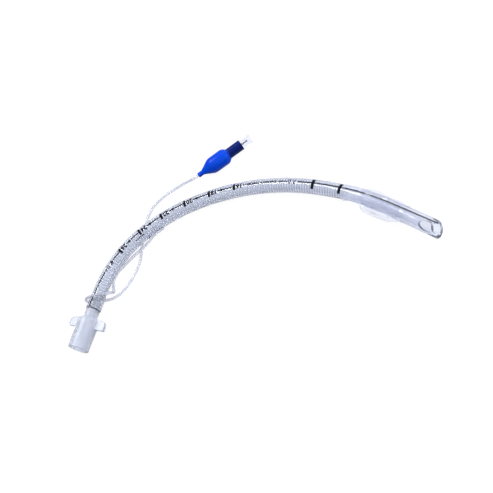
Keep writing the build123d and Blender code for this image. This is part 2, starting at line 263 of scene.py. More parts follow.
def axis_frames(distances):
    """Points on the tube's axis, directions along it and to the inside of the curve."""
    distances = np.atleast_1d(np.asarray(distances, float))
    points = np.zeros((len(distances), 3))
    headings = np.zeros(len(distances))
    start, at, heading = 0.0, np.array((TUBE_END_X, 0.0)), 0.0
    for index, (length, radius) in enumerate(STRETCHES):
        here = (distances >= start) | (index == 0)
        run = distances[here] - start
        if radius is None:
            forward = np.array((math.cos(heading), math.sin(heading)))
            points[here, :2] = at + run[:, None] * forward
            headings[here] = heading
            at = at + length * forward
        else:
            centre = at + radius * np.array((math.sin(heading), -math.cos(heading)))
            turned = heading - run / radius
            points[here, 0] = centre[0] - radius * np.sin(turned)
            points[here, 1] = centre[1] + radius * np.cos(turned)
            headings[here] = turned
            heading -= length / radius
            at = centre + radius * np.array((-math.sin(heading), math.cos(heading)))
        start += length
    along = np.stack((np.cos(headings), np.sin(headings), np.zeros_like(headings)), axis=1)
    inside = np.stack((np.sin(headings), -np.cos(headings), np.zeros_like(headings)), axis=1)
    return points, along, inside


def tube_points(distances, angles, radii):
    """Points round the tube: angle 0 is the inside of the curve and a quarter turn is the top."""
    at, along, inside = axis_frames(distances)
    angles = np.asarray(angles, float)
    radii = np.broadcast_to(np.asarray(radii, float), at.shape[:1])
    return at + radii[:, None] * (np.cos(angles)[:, None] * inside + np.sin(angles)[:, None] * UP)


def line_angle(distances):
    """Angle of the printed line round the tube, eased through its knots."""
    places = np.array([knot[0] for knot in LINE_ANGLE_KNOTS]) * MM
    angles = np.radians([knot[1] for knot in LINE_ANGLE_KNOTS])
    slopes = np.gradient(angles, places)
    index = np.clip(np.searchsorted(places, distances) - 1, 0, len(places) - 2)
    span = places[index + 1] - places[index]
    t = (distances - places[index]) / span
    start = angles[index] * (2 * t ** 3 - 3 * t ** 2 + 1)
    start += slopes[index] * span * (t ** 3 - 2 * t ** 2 + t)
    end = angles[index + 1] * (3 * t ** 2 - 2 * t ** 3)
    end += slopes[index + 1] * span * (t ** 3 - t ** 2)
    return start + end


def skin_rings(name, rings):
    """Closed mesh through a closed loop of rings."""
    rings = np.asarray(rings)
    count, sides = rings.shape[:2]
    faces = []
    for ring in range(count):
        following = (ring + 1) % count
        for side in range(sides):
            beside = (side + 1) % sides
            faces.append((ring * sides + side, ring * sides + beside,
                          following * sides + beside, following * sides + side))
    mesh = bpy.data.meshes.new(name)
    mesh.from_pydata(rings.reshape(-1, 3).tolist(), [], faces)
    shape = bmesh.new()
    shape.from_mesh(mesh)
    bmesh.ops.recalc_face_normals(shape, faces=shape.faces)
    shape.to_mesh(mesh)
    shape.free()
    return mesh


def smooth_copy(node_name):
    """Welded, smooth-shaded copy of a CAD node's mesh."""
    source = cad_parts[node_name].data
    mesh = bpy.data.meshes.new(node_name + "_skin")
    mesh.from_pydata([v.co[:] for v in source.vertices], [], [p.vertices[:] for p in source.polygons])
    shape = bmesh.new()
    shape.from_mesh(mesh)
    bmesh.ops.remove_doubles(shape, verts=shape.verts, dist=WELD)
    bmesh.ops.dissolve_degenerate(shape, edges=shape.edges, dist=WELD / 2)
    shape.to_mesh(mesh)
    shape.free()
    soften(mesh)
    return new_piece(node_name + "_skin", mesh)


def set_inputs(modifier, values):
    """Sets a Geometry Nodes modifier's inputs by their sockets' identifiers."""
    for item in modifier.node_group.interface.items_tree:
        if item.item_type == "SOCKET" and item.in_out == "INPUT" and item.name in values:
            modifier[item.identifier] = values[item.name]


def evaluated_mesh(holder):
    """Plain mesh of an object with its modifiers applied; the holder is removed."""
    bpy.context.view_layer.update()
    graph = bpy.context.evaluated_depsgraph_get()
    mesh = bpy.data.meshes.new_from_object(holder.evaluated_get(graph))
    bpy.data.objects.remove(holder)
    return mesh


# Node helpers for the materials, the world and the coil
def feed(tree, socket, source):
    """Links a socket to another one, or sets it to a plain value."""
    if isinstance(source, bpy.types.NodeSocket):
        tree.links.new(source, socket)
    else:
        socket.default_value = source


def math_node(tree, operation, *sources):
    """Output of a Math node."""
    node = tree.nodes.new("ShaderNodeMath")
    node.operation = operation
    for socket, source in zip(node.inputs, sources):
        feed(tree, socket, source)
    return node.outputs[0]


def vector_node(tree, operation, first, second):
    """Output of a Vector Math node with two vectors."""
    node = tree.nodes.new("ShaderNodeVectorMath")
    node.operation = operation
    feed(tree, node.inputs[0], first)
    feed(tree, node.inputs[1], second)
    return node.outputs["Value" if operation == "DOT_PRODUCT" else "Vector"]


def range_node(tree, value, ends, results=(0.0, 1.0), easing="LINEAR"):
    """Output of a Map Range node."""
    node = tree.nodes.new("ShaderNodeMapRange")
    node.interpolation_type = easing
    sockets = ("Value", "From Min", "From Max", "To Min", "To Max")
    for socket, source in zip(sockets, (value, *ends, *results)):
        feed(tree, node.inputs[socket], source)
    return node.outputs["Result"]


def noise_node(tree, place, scale, detail):
    """Output of a Noise Texture node."""
    node = tree.nodes.new("ShaderNodeTexNoise")
    for socket, source in (("Vector", place), ("Scale", scale), ("Detail", detail)):
        feed(tree, node.inputs[socket], source)
    return node.outputs["Fac"]


def color_mix(tree, factor, first, second):
    """Output of a Mix node for colours."""
    node = tree.nodes.new("ShaderNodeMix")
    node.data_type = "RGBA"
    for socket, source in (("Factor", factor), ("A", first), ("B", second)):
        feed(tree, node.inputs[socket], source)
    return node.outputs["Result"]


def shader_group(name, inputs, outputs):
    """Shader node group with named sockets, and its input and output nodes."""
    group = bpy.data.node_groups.new(name, "ShaderNodeTree")
    for socket, kind, value in inputs:
        group.interface.new_socket(socket, in_out="INPUT", socket_type=kind).default_value = value
    for socket, kind in outputs:
        group.interface.new_socket(socket, in_out="OUTPUT", socket_type=kind)
    return group, group.nodes.new("NodeGroupInput"), group.nodes.new("NodeGroupOutput")


# Materials
CLOUD_DETAIL = 3.0
CLOUD_ENDS = (0.3, 0.7)
RIPPLE_DETAIL = 2.0
RIPPLE_DEPTH = 0.2 * MM
RIM_BLEND = 0.35


def surface_group():
    """Cloudy colour, uneven gloss and fine ripple of moulded and extruded plastic."""
    inputs = (
        ("Color", "NodeSocketColor", (0.8, 0.8, 0.8, 1.0)),
        ("Cloud Color", "NodeSocketColor", (0.7, 0.7, 0.7, 1.0)),
        ("Cloud Scale", "NodeSocketFloat", 120.0),
        ("Gloss Low", "NodeSocketFloat", 0.05),
        ("Gloss High", "NodeSocketFloat", 0.15),
        ("Ripple Scale", "NodeSocketFloat", 500.0),
        ("Ripple", "NodeSocketFloat", 0.1),
    )
    outputs = (
        ("Color", "NodeSocketColor"),
        ("Roughness", "NodeSocketFloat"),
        ("Normal", "NodeSocketVector"),
    )
    group, given, made = shader_group("plastic_surface", inputs, outputs)
    place = group.nodes.new("ShaderNodeTexCoord").outputs["Object"]
    cloud = noise_node(group, place, given.outputs["Cloud Scale"], CLOUD_DETAIL)
    color = color_mix(group, cloud, given.outputs["Color"], given.outputs["Cloud Color"])
    gloss = range_node(group, cloud, CLOUD_ENDS, (given.outputs["Gloss Low"], given.outputs["Gloss High"]))
    ripple = noise_node(group, place, given.outputs["Ripple Scale"], RIPPLE_DETAIL)
    bump = group.nodes.new("ShaderNodeBump")
    feed(group, bump.inputs["Distance"], RIPPLE_DEPTH)
    feed(group, bump.inputs["Strength"], given.outputs["Ripple"])
    feed(group, bump.inputs["Height"], ripple)
    feed(group, made.inputs["Color"], color)
    feed(group, made.inputs["Roughness"], gloss)
    feed(group, made.inputs["Normal"], bump.outputs["Normal"])
    return group


def place_tint_group():
    """Colour that turns to a tint where the surface lies far enough along a direction."""
    inputs = (
        ("Color", "NodeSocketColor", (0.8, 0.8, 0.8, 1.0)),
        ("Tint", "NodeSocketColor", (0.1, 0.1, 0.1, 1.0)),
        ("Direction", "NodeSocketVector", (1.0, 0.0, 0.0)),
        ("From", "NodeSocketFloat", 0.0),
        ("To", "NodeSocketFloat", 0.001),
    )
    group, given, made = shader_group("tint_by_place", inputs, (("Color", "NodeSocketColor"),))
    place = group.nodes.new("ShaderNodeTexCoord").outputs["Object"]
    reach = vector_node(group, "DOT_PRODUCT", place, given.outputs["Direction"])
    share = range_node(group, reach, (given.outputs["From"], given.outputs["To"]), easing="SMOOTHSTEP")
    color = color_mix(group, share, given.outputs["Color"], given.outputs["Tint"])
    feed(group, made.inputs["Color"], color)
    return group


plastic_surface = surface_group()
tint_by_place = place_tint_group()


def group_node(tree, group, values):
    """A shader group placed in a material, with its values or links set by socket name."""
    node = tree.nodes.new("ShaderNodeGroup")
    node.node_tree = group
    for socket, source in values.items():
        feed(tree, node.inputs[socket], source)
    return node


def plastic(name, color, cloud_color, gloss, ripple, ripple_scale=500.0, edge_tint_and_shade=None, tints=(), **settings):
    """Principled material: the edge colour is that of clear wall seen edge on, partly its thickness tint
    and partly painted shade; tints are colours at a place, some painted light, some painted shade, some the
    piece's own colour.
    """
    material = bpy.data.materials.new(name)
    material.use_nodes = True
    tree = material.node_tree
    shader = tree.nodes["Principled BSDF"]
    surface = group_node(tree, plastic_surface, {
        "Color": (*color, 1.0),
        "Cloud Color": (*cloud_color, 1.0),
        "Gloss Low": gloss[0],
        "Gloss High": gloss[1],
        "Ripple": ripple,
        "Ripple Scale": ripple_scale,
    })
    color_out = surface.outputs["Color"]
    # Edge-on colour by facing: partly the clear wall's thickness tint, partly painted shade at its edges
    if edge_tint_and_shade:
        facing = tree.nodes.new("ShaderNodeLayerWeight")
        facing.inputs["Blend"].default_value = RIM_BLEND
        color_out = color_mix(tree, facing.outputs["Facing"], color_out, (*edge_tint_and_shade, 1.0))
    for direction, start, end, tint in tints:
        spot = group_node(tree, tint_by_place, {
            "Color": color_out,
            "Tint": (*tint, 1.0),
            "Direction": direction,
            "From": start,
            "To": end,
        })
        color_out = spot.outputs["Color"]
    feed(tree, shader.inputs["Base Color"], color_out)
    feed(tree, shader.inputs["Roughness"], surface.outputs["Roughness"])
    feed(tree, shader.inputs["Normal"], surface.outputs["Normal"])
    for socket, value in settings.items():
        shader.inputs[socket.replace("_", " ")].default_value = value
    return material


MOUTH_WARD = Vector((-1.0, 0.0, 0.0))
# Painted shade: the tube wall's first half millimetre at its open end is darkened, standing in for the dark
# edge that refraction gives
TUBE_END_PAINTED_SHADE = (-TUBE_END_X - 0.6 * MM, -TUBE_END_X - 0.4 * MM)
# Painted light: the connector's spigot inside the tube is lightened, standing in for light that the clear
# wall keeps from it
SPIGOT_PAINTED_LIGHT = (TUBE_END_X - 0.3 * MM, TUBE_END_X + 0.3 * MM)
SLEEVE_FROM = Vector(LINE_ROUTE[-1]).dot(BALLOON_ALONG) + SLEEVE_AFTER
SLEEVE_BLEND = (SLEEVE_FROM, SLEEVE_FROM + 2.5 * MM)
# Edge-on colours below are partly the clear plastic's thickness tint and partly painted shade at its edges
CLEAR = dict(Transmission_Weight=1.0, IOR=1.45)
# The tint on the clear wall is painted shade: a dark ring at the tube's end
tube_wall = plastic("clear_lavender_wall", (0.87, 0.905, 0.985), (0.83, 0.87, 0.97), (0.03, 0.06), 0.03,
                    edge_tint_and_shade=(0.74, 0.78, 0.94),
                    tints=[(MOUTH_WARD, *TUBE_END_PAINTED_SHADE, (0.01, 0.01, 0.05))],
                    Transmission_Weight=0.79, IOR=1.40)
tip_wall = plastic("clear_soft_tip", (0.87, 0.89, 0.97), (0.83, 0.86, 0.95), (0.02, 0.06), 0.05,
                   edge_tint_and_shade=(0.50, 0.56, 0.82), Transmission_Weight=0.88, IOR=1.32)
film = plastic("cuff_film", (0.97, 0.975, 1.0), (0.94, 0.95, 0.99), (0.03, 0.10), 0.12, 300.0,
               edge_tint_and_shade=(0.82, 0.85, 0.97), **CLEAR)
line_wall = plastic("clear_line", (0.93, 0.94, 1.0), (0.90, 0.91, 0.98), (0.08, 0.14), 0.0,
                    edge_tint_and_shade=(0.50, 0.52, 0.64), Transmission_Weight=0.86, IOR=1.33)
hub_plastic = plastic("clear_hub", (0.94, 0.95, 1.0), (0.90, 0.91, 0.98), (0.04, 0.09), 0.05,
                      edge_tint_and_shade=(0.70, 0.73, 0.90), **CLEAR)
# The tint on the connector is painted light on the spigot inside the tube
connector_plastic = plastic("milky_connector", (0.85, 0.885, 0.98), (0.82, 0.86, 0.97), (0.26, 0.34), 0.02,
                            tints=[(-MOUTH_WARD, *SPIGOT_PAINTED_LIGHT, (0.97, 0.98, 1.0))],
                            Transmission_Weight=0.62, IOR=1.40, Specular_IOR_Level=0.35)
blue_film = plastic("blue_balloon", (0.0, 0.028, 0.60), (0.0, 0.110, 0.92), (0.22, 0.32), 0.10, 260.0,
                    tints=[(BALLOON_ALONG, *SLEEVE_BLEND, (0.0, 0.012, 0.16))],
                    Transmission_Weight=0.08, IOR=1.40, Specular_IOR_Level=0.12)
coil_steel = plastic("coil_steel", (0.92, 0.93, 1.0), (0.86, 0.87, 0.95), (0.40, 0.52), 0.03, Metallic=0.5)
ink = plastic("black_ink", (0.004, 0.004, 0.007), (0.008, 0.008, 0.012), (0.70, 0.85), 0.05,
              Specular_IOR_Level=0.1)
seal_rubber = plastic("seal_rubber", (0.02, 0.02, 0.025), (0.03, 0.03, 0.035), (0.45, 0.60), 0.2)
stem_plastic = plastic("stem_plastic", (0.42, 0.44, 0.54), (0.48, 0.50, 0.60), (0.25, 0.35), 0.1)


# Shaft: clear wall with its flared end, open through, notched where the inflation line leaves it
def shaft_piece():
    """Wall skinned through rings along the tube, with the notch cut out."""
    blend_end = FLARE_LENGTH + FLARE_BLEND
    outer = [(END_ROUNDING / 3, FLARE_RADIUS - END_ROUNDING / 3), (END_ROUNDING, FLARE_RADIUS)]
    outer += [(d, FLARE_RADIUS) for d in np.linspace(FLARE_FIRST_RING, FLARE_LENGTH, FLARE_RINGS)]
    for share in (0.25, 0.5, 0.75):
        eased = (3 - 2 * share) * share * share
        radius = FLARE_RADIUS + (SHAFT_RADIUS - FLARE_RADIUS) * eased
        outer.append((FLARE_LENGTH + FLARE_BLEND * share, radius))
    count = int((SHAFT_END - blend_end) / RING_STEP)
    outer += [(d, SHAFT_RADIUS) for d in np.linspace(blend_end, SHAFT_END - JOINT_GAP, count)]
    lumen_start = SPIGOT_LENGTH + LUMEN_STEP
    inner = [(d, LUMEN_RADIUS) for d in np.linspace(SHAFT_END - JOINT_GAP, lumen_start, count)]
    inner += [(d, SPIGOT_RADIUS) for d in np.linspace(SPIGOT_LENGTH, END_ROUNDING, FLARE_RINGS)]
    inner += [(0.0, SPIGOT_RADIUS + END_ROUNDING), (0.0, FLARE_RADIUS - END_ROUNDING)]
    angles = np.arange(TUBE_SIDES) * 2 * math.pi / TUBE_SIDES
    rings = [tube_points(np.full(TUBE_SIDES, d), angles, r) for d, r in outer + inner]
    piece = new_piece("shaft_wall", skin_rings("shaft_wall", rings))
    start, through = Vector(LINE_ROUTE[0]), Vector(LINE_ROUTE[1])
    run = through - start
    shape = bmesh.new()
    notch_radius = LINE_DIAMETER / 2 + NOTCH_CLEARANCE
    bmesh.ops.create_cone(shape, cap_ends=True, segments=32, radius1=notch_radius, radius2=notch_radius,
                          depth=run.length * 2)
    cutter_mesh = bpy.data.meshes.new("notch_cutter")
    shape.to_mesh(cutter_mesh)
    shape.free()
    turned = run.to_track_quat("Z", "Y").to_matrix().to_4x4()
    cutter_mesh.transform(Matrix.Translation(start + run * NOTCH_PLACE) @ turned)
    cutter = new_piece("notch_cutter", cutter_mesh)
    notch = piece.modifiers.new("notch", "BOOLEAN")
    notch.operation = "DIFFERENCE"
    notch.solver = "EXACT"
    notch.object = cutter
    cut = evaluated_mesh(piece)
    bpy.data.objects.remove(cutter)
    soften(cut)
    return new_piece("shaft_wall", cut)


place_piece(shaft_piece(), tube_wall, "tube", "clear_tube", "shaft")


# Wire coil: one round wire wound along the tube's axis
def coil_tree():
    """Geometry Nodes that wind a wire about an axis, wider over the flared end."""
    tree = bpy.data.node_groups.new("wire_round_axis", "GeometryNodeTree")
    tree.interface.new_socket("Axis", in_out="INPUT", socket_type="NodeSocketGeometry")
    sizes = (
        ("Coil Radius", 0.004),
        ("Start Radius", 0.0045),
        ("Closing From", 0.009),
        ("Closing To", 0.011),
        ("Pitch", 0.002),
        ("Wire Radius", 0.00025),
        ("Step", 0.0001),
    )
    for name, value in sizes:
        tree.interface.new_socket(name, in_out="INPUT", socket_type="NodeSocketFloat").default_value = value
    tree.interface.new_socket("Wire Sides", in_out="INPUT", socket_type="NodeSocketInt").default_value = 8
    tree.interface.new_socket("Material", in_out="INPUT", socket_type="NodeSocketMaterial")
    tree.interface.new_socket("Coil", in_out="OUTPUT", socket_type="NodeSocketGeometry")
    nodes, links = tree.nodes, tree.links
    given = nodes.new("NodeGroupInput").outputs
    made = nodes.new("NodeGroupOutput")
    to_curve = nodes.new("GeometryNodeMeshToCurve")
    links.new(given["Axis"], to_curve.inputs["Mesh"])
    resample = nodes.new("GeometryNodeResampleCurve")
    resample.mode = "LENGTH"
    links.new(to_curve.outputs["Curve"], resample.inputs["Curve"])
    links.new(given["Step"], resample.inputs["Length"])
    along = nodes.new("GeometryNodeSplineParameter").outputs["Length"]
    angle = math_node(tree, "MULTIPLY", math_node(tree, "DIVIDE", along, given["Pitch"]), 2 * math.pi)
    tangent = nodes.new("GeometryNodeInputTangent").outputs["Tangent"]
    side = vector_node(tree, "CROSS_PRODUCT", tangent, tuple(UP))
    radius = range_node(tree, along, (given["Closing From"], given["Closing To"]),
                        (given["Start Radius"], given["Coil Radius"]))
    across = nodes.new("ShaderNodeVectorMath")
    across.operation = "SCALE"
    links.new(side, across.inputs[0])
    links.new(math_node(tree, "MULTIPLY", math_node(tree, "COSINE", angle), radius), across.inputs["Scale"])
    rise = nodes.new("ShaderNodeCombineXYZ")
    links.new(math_node(tree, "MULTIPLY", math_node(tree, "SINE", angle), radius), rise.inputs["Z"])
    offset = vector_node(tree, "ADD", across.outputs["Vector"], rise.outputs["Vector"])
    move = nodes.new("GeometryNodeSetPosition")
    links.new(resample.outputs["Curve"], move.inputs["Geometry"])
    links.new(offset, move.inputs["Offset"])
    section = nodes.new("GeometryNodeCurvePrimitiveCircle")
    links.new(given["Wire Radius"], section.inputs["Radius"])
    links.new(given["Wire Sides"], section.inputs["Resolution"])
    wire = nodes.new("GeometryNodeCurveToMesh")
    wire.inputs["Fill Caps"].default_value = True
    links.new(move.outputs["Geometry"], wire.inputs["Curve"])
    links.new(section.outputs["Curve"], wire.inputs["Profile Curve"])
    realize = nodes.new("GeometryNodeRealizeInstances")
    links.new(wire.outputs["Mesh"], realize.inputs["Geometry"])
    finish = nodes.new("GeometryNodeSetMaterial")
    links.new(realize.outputs["Geometry"], finish.inputs["Geometry"])
    links.new(given["Material"], finish.inputs["Material"])
    links.new(finish.outputs["Geometry"], made.inputs["Coil"])
    return tree


def coil_piece():
    """The wound wire, made a plain mesh."""
    distances = np.linspace(COIL_MARGIN, SHAFT_END - COIL_MARGIN, COIL_AXIS_POINTS)
    points = axis_frames(distances)[0]
    mesh = bpy.data.meshes.new("coil_axis")
    mesh.from_pydata(points.tolist(), [(i, i + 1) for i in range(len(points) - 1)], [])
    holder = new_piece("coil_axis", mesh)
    winding = holder.modifiers.new("winding", "NODES")
    winding.node_group = coil_tree()
    set_inputs(winding, {
        "Coil Radius": COIL_RADIUS,
        "Start Radius": COIL_FLARE_RADIUS,
        "Closing From": FLARE_LENGTH - COIL_MARGIN,
        "Closing To": FLARE_LENGTH + FLARE_BLEND - COIL_MARGIN,
        "Pitch": COIL_PITCH,
        "Wire Radius": COIL_WIRE / 2,
        "Step": COIL_PITCH / COIL_STEPS_PER_TURN,
        "Wire Sides": COIL_SIDES,
        "Material": coil_steel,
    })
    wire = evaluated_mesh(holder)
    soften(wire, SHARP_WIRE)
    return new_piece("wire_coil", wire)


place_piece(coil_piece(), coil_steel, "tube", "coil_wire", "wire_spiral")


# Inflation line: hollow clear tube along one smooth NURBS line
def route_points():
    """Points on a smooth line eased through the route."""
    curve = bpy.data.curves.new("line_route", "CURVE")
    curve.dimensions = "3D"
    curve.resolution_u = 8
    spline = curve.splines.new("NURBS")
    spline.points.add(len(LINE_ROUTE) - 1)
    for point, place in zip(spline.points, LINE_ROUTE):
        point.co = (*place, 1.0)
    spline.order_u = 3
    spline.use_endpoint_u = True
    holder = new_piece("line_route", curve)
    mesh = evaluated_mesh(holder)
    return np.array([v.co[:] for v in mesh.vertices])


def line_rings(points, radius, sides):
    """Rings along a free line, turned as little as possible from one to the next."""
    steps = np.gradient(points, axis=0)
    tangents = steps / np.linalg.norm(steps, axis=1)[:, None]
    side = np.cross(tangents[0], UP)
    rings = []
    angles = np.arange(sides) * 2 * math.pi / sides
    for point, tangent in zip(points, tangents):
        side = side - tangent * np.dot(side, tangent)
        side /= np.linalg.norm(side)
        lift = np.cross(tangent, side)
        rings.append(point + radius * (np.cos(angles)[:, None] * side + np.sin(angles)[:, None] * lift))
    return rings


def line_piece(points):
    """Hollow tube, skinned outside and in its bore."""
    outer = line_rings(points, LINE_DIAMETER / 2, LINE_SIDES)
    inner = line_rings(points, LINE_BORE / 2, LINE_SIDES)
    mesh = skin_rings("inflation_tube", outer + inner[::-1])
    soften(mesh, SHARP_LINE)
    return new_piece("inflation_tube", mesh)


line_points = route_points()
inflation_tube = place_piece(line_piece(line_points), line_wall, "tube", "line_tube", "inflation_line")


# Cuff: thin film, collared at both ends, part filled and creased towards the inside of the curve
CUFF_FOLDS = (
    # share of the way forward, angle, length as a share, width in degrees, height in mm, slant
    (0.34, -32.0, 0.26, 7.0, 0.6, 30.0),
    (0.45, 6.0, 0.22, 5.0, -0.9, -40.0),
    (0.58, 24.0, 0.20, 5.0, 0.8, 60.0),
    (0.70, 48.0, 0.14, 5.0, -0.9, -70.0),
    (0.66, 74.0, 0.12, 5.0, 0.8, 110.0),
    (0.42, 66.0, 0.30, 6.0, 0.7, 16.0),
    (0.36, 92.0, 0.26, 5.0, -0.5, 10.0),
    (0.52, 112.0, 0.28, 6.0, 0.5, -18.0),
    (0.80, 20.0, 0.10, 8.0, 0.8, 120.0),
    (0.82, 84.0, 0.09, 7.0, 0.7, -130.0),
    (0.15, 60.0, 0.06, 14.0, 0.6, 40.0),
    (0.14, 14.0, 0.07, 10.0, 0.6, -40.0),
    (0.55, -70.0, 0.30, 8.0, 0.5, 10.0),
    (0.40, 165.0, 0.30, 9.0, 0.3, 15.0),
)


# Film between the collars: places are shares of the way forward, heights in mm and angles in degrees
FILM_RISE = 0.18
FILM_FALL = 0.24
FILM_FALL_EASE = 0.8
FILM_TAPER = 0.25
FILM_LEAST = 0.3
BELLY_HEIGHT = 3.8
BELLY_ANGLE = -16.0
BACK_HEIGHT = 1.1
BACK_ANGLE = 160.0
BACK_SWELLS = ((0.27, 0.20, 1.0), (0.86, 0.10, 0.7))
WAVE_HEIGHT = 0.10
FLOOR_CLEARANCE = 0.05 * MM


def film_height(angles, share, room):
    """Height of the film over the tip round one ring of the cuff."""
    rise = min(1.0, room / FILM_RISE)
    fall = min(1.0, (1.0 - room) / FILM_FALL) ** FILM_FALL_EASE
    swell = math.sin(rise * math.pi / 2) * fall * (1.0 - FILM_TAPER * room)
    belly = 0.5 + 0.5 * np.cos(angles - math.radians(BELLY_ANGLE))
    back = 0.5 + 0.5 * np.cos(angles - math.radians(BACK_ANGLE))
    upper = sum(full * math.exp(-((room - at) / spread) ** 2) for at, spread, full in BACK_SWELLS)
    held = min(rise, fall)
    height = swell * BELLY_HEIGHT * belly ** 1.5 + upper * BACK_HEIGHT * back ** 2 + FILM_LEAST * held
    for at, centre, spread, width, fold_height, slant in CUFF_FOLDS:
        lean = math.radians(centre + slant * (share - at))
        turn = np.angle(np.exp(1j * (angles - lean)))
        ridge = np.exp(-(turn / math.radians(width)) ** 2) * math.exp(-((share - at) / spread) ** 2)
        height = height + fold_height * ridge * held
    waves = np.sin(angles * 9 + share * 14) * np.sin(angles * 4 - share * 23 + 1.0)
    return (height + WAVE_HEIGHT * waves * held) * MM


def cuff_piece():
    """Film skinned through rings on the tip, kept clear of the table."""
    length = CUFF_REAR - CUFF_FRONT
    collar = CUFF_COLLAR / length
    angles = np.radians(np.linspace(-180.0, 180.0, CUFF_SIDES + 1)[:-1])
    drop = np.maximum(-np.sin(angles), 1e-6)
    outer = []
    inner = []
    for share in np.linspace(0.0, 1.0, CUFF_RINGS):
        distance = np.full(len(angles), TUBE_LENGTH - CUFF_REAR + share * length)
        room = min(max((share - collar) / (1 - 2 * collar), 0.0), 1.0)
        height = np.maximum(film_height(angles, share, room), 0.0)
        radius = TIP_RADIUS + CUFF_CLEARANCE + CUFF_FILM + height
        radius = np.minimum(radius, (-TABLE_Z - FLOOR_CLEARANCE) / drop)
        outer.append(tube_points(distance, angles, radius))
        inner.append(tube_points(distance, angles, radius - CUFF_FILM))
    mesh = skin_rings("cuff_film", outer + inner[::-1])
    soften(mesh, SHARP_FILM)
    return new_piece("cuff_film", mesh)


place_piece(cuff_piece(), film, "tube", "cuff_film", "cuff")

# Rigid and soft pieces that keep the CAD form, with smooth skins
place_piece(smooth_copy("connector"), connector_plastic, "tube", "connector_plastic", "connector")
place_piece(smooth_copy("distal_tip"), tip_wall, "tube", "clear_tube", "distal_tip")
cord_pieces = [
    place_piece(smooth_copy("pilot_balloon"), blue_film, "tube", "blue_film", "pilot_balloon"),
    place_piece(smooth_copy("valve_body"), hub_plastic, "tube", "clear_hub", "valve_body"),
    place_piece(smooth_copy("valve_retainer"), hub_plastic, "tube", "clear_hub", "valve_retainer"),
    place_piece(smooth_copy("valve_seal"), seal_rubber, "stem", "seal_rubber", "valve_seal"),
    place_piece(smooth_copy("valve_stem"), stem_plastic, "stem", "stem_plastic", "valve_stem"),
    place_piece(smooth_copy("valve_spring"), coil_steel, "tube", "coil_wire", "valve_spring"),
]
spring = cord_pieces[-1]
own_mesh(spring)


# Print: every mark is laid out flat, by distance along the tube and round it, then wrapped on the wall
def add_bar(shape, start, end, low, high):
    """Flat rectangle."""
    corners = ((start, low), (end, low), (end, high), (start, high))
    shape.faces.new([shape.verts.new((along, across, 0.0)) for along, across in corners])


def add_dot(shape, at, radius, sides=20):
    """Flat round dot on the line."""
    corners = []
    for side in range(sides):
        angle = 2 * math.pi * side / sides
        corners.append(shape.verts.new((at + radius * math.cos(angle), radius * math.sin(angle), 0.0)))
    shape.faces.new(corners)


def add_numeral(shape, text, end, height, stroke):
    """Numerals on the line that read from the nose towards the connector and end at a distance."""
    curve = bpy.data.curves.new("numeral", "FONT")
    curve.body = text
    curve.size = height / NUMERAL_SHARE_OF_SIZE
    curve.align_x = "RIGHT"
    curve.resolution_u = 3
    curve.space_character = NUMERAL_SPACING
    curve.offset = stroke * height
    mesh = evaluated_mesh(new_piece("numeral", curve))
    for vertex in mesh.vertices:
        vertex.co = (end - vertex.co.x, height / 2 - vertex.co.y, 0.0)
    shape.from_mesh(mesh)


def add_marks(shape):
    """Depth marks, size figures and ticks, and the stretches that they keep free of the line."""
    free = []
    for depth in DEPTH_MARKS:
        at = MARK_ZERO - depth * 10 * MM
        start, end = at - BAR_LENGTH / 2, at + BAR_LENGTH / 2
        add_bar(shape, start, end, -BAR_REACH, BAR_REACH)
        add_numeral(shape, str(depth), end + NUMERAL_GAP, NUMERAL_HEIGHT, NUMERAL_STROKE)
        free.append((end, at + NUMERAL_ROOM))
        add_dot(shape, at - DOT_AFTER, DOT_RADIUS)
    for from_zero in SIZE_MARKS:
        at = MARK_ZERO - from_zero
        add_numeral(shape, "7.0", at, SIZE_HEIGHT, SIZE_STROKE)
        free.append((at - SIZE_ROOM[0], at + SIZE_ROOM[1]))
    for from_zero in TICK_ROWS:
        start = MARK_ZERO - from_zero
        for tick in range(TICK_COUNT):
            at = start + tick * TICK_STEP
            add_bar(shape, at, at + TICK_LENGTHS[tick % 3], -TICK_REACH, TICK_REACH)
        free.append((start - TICK_ROOM[0], start + TICK_COUNT * TICK_STEP + TICK_ROOM[1]))
    for tick in range(SIDE_TICK_COUNT):
        at = MARK_ZERO - SIDE_TICKS_AT + tick * SIDE_TICK_STEP
        add_bar(shape, at, at + SIDE_TICK_LENGTH, *SIDE_TICK_BAND)
    return free


def cut_flat(shape, places, axis):
    """Cuts the flat print across an axis."""
    for place in places:
        everything = shape.verts[:] + shape.edges[:] + shape.faces[:]
        bmesh.ops.bisect_plane(shape, geom=everything, plane_co=Vector(axis) * place, plane_no=axis)


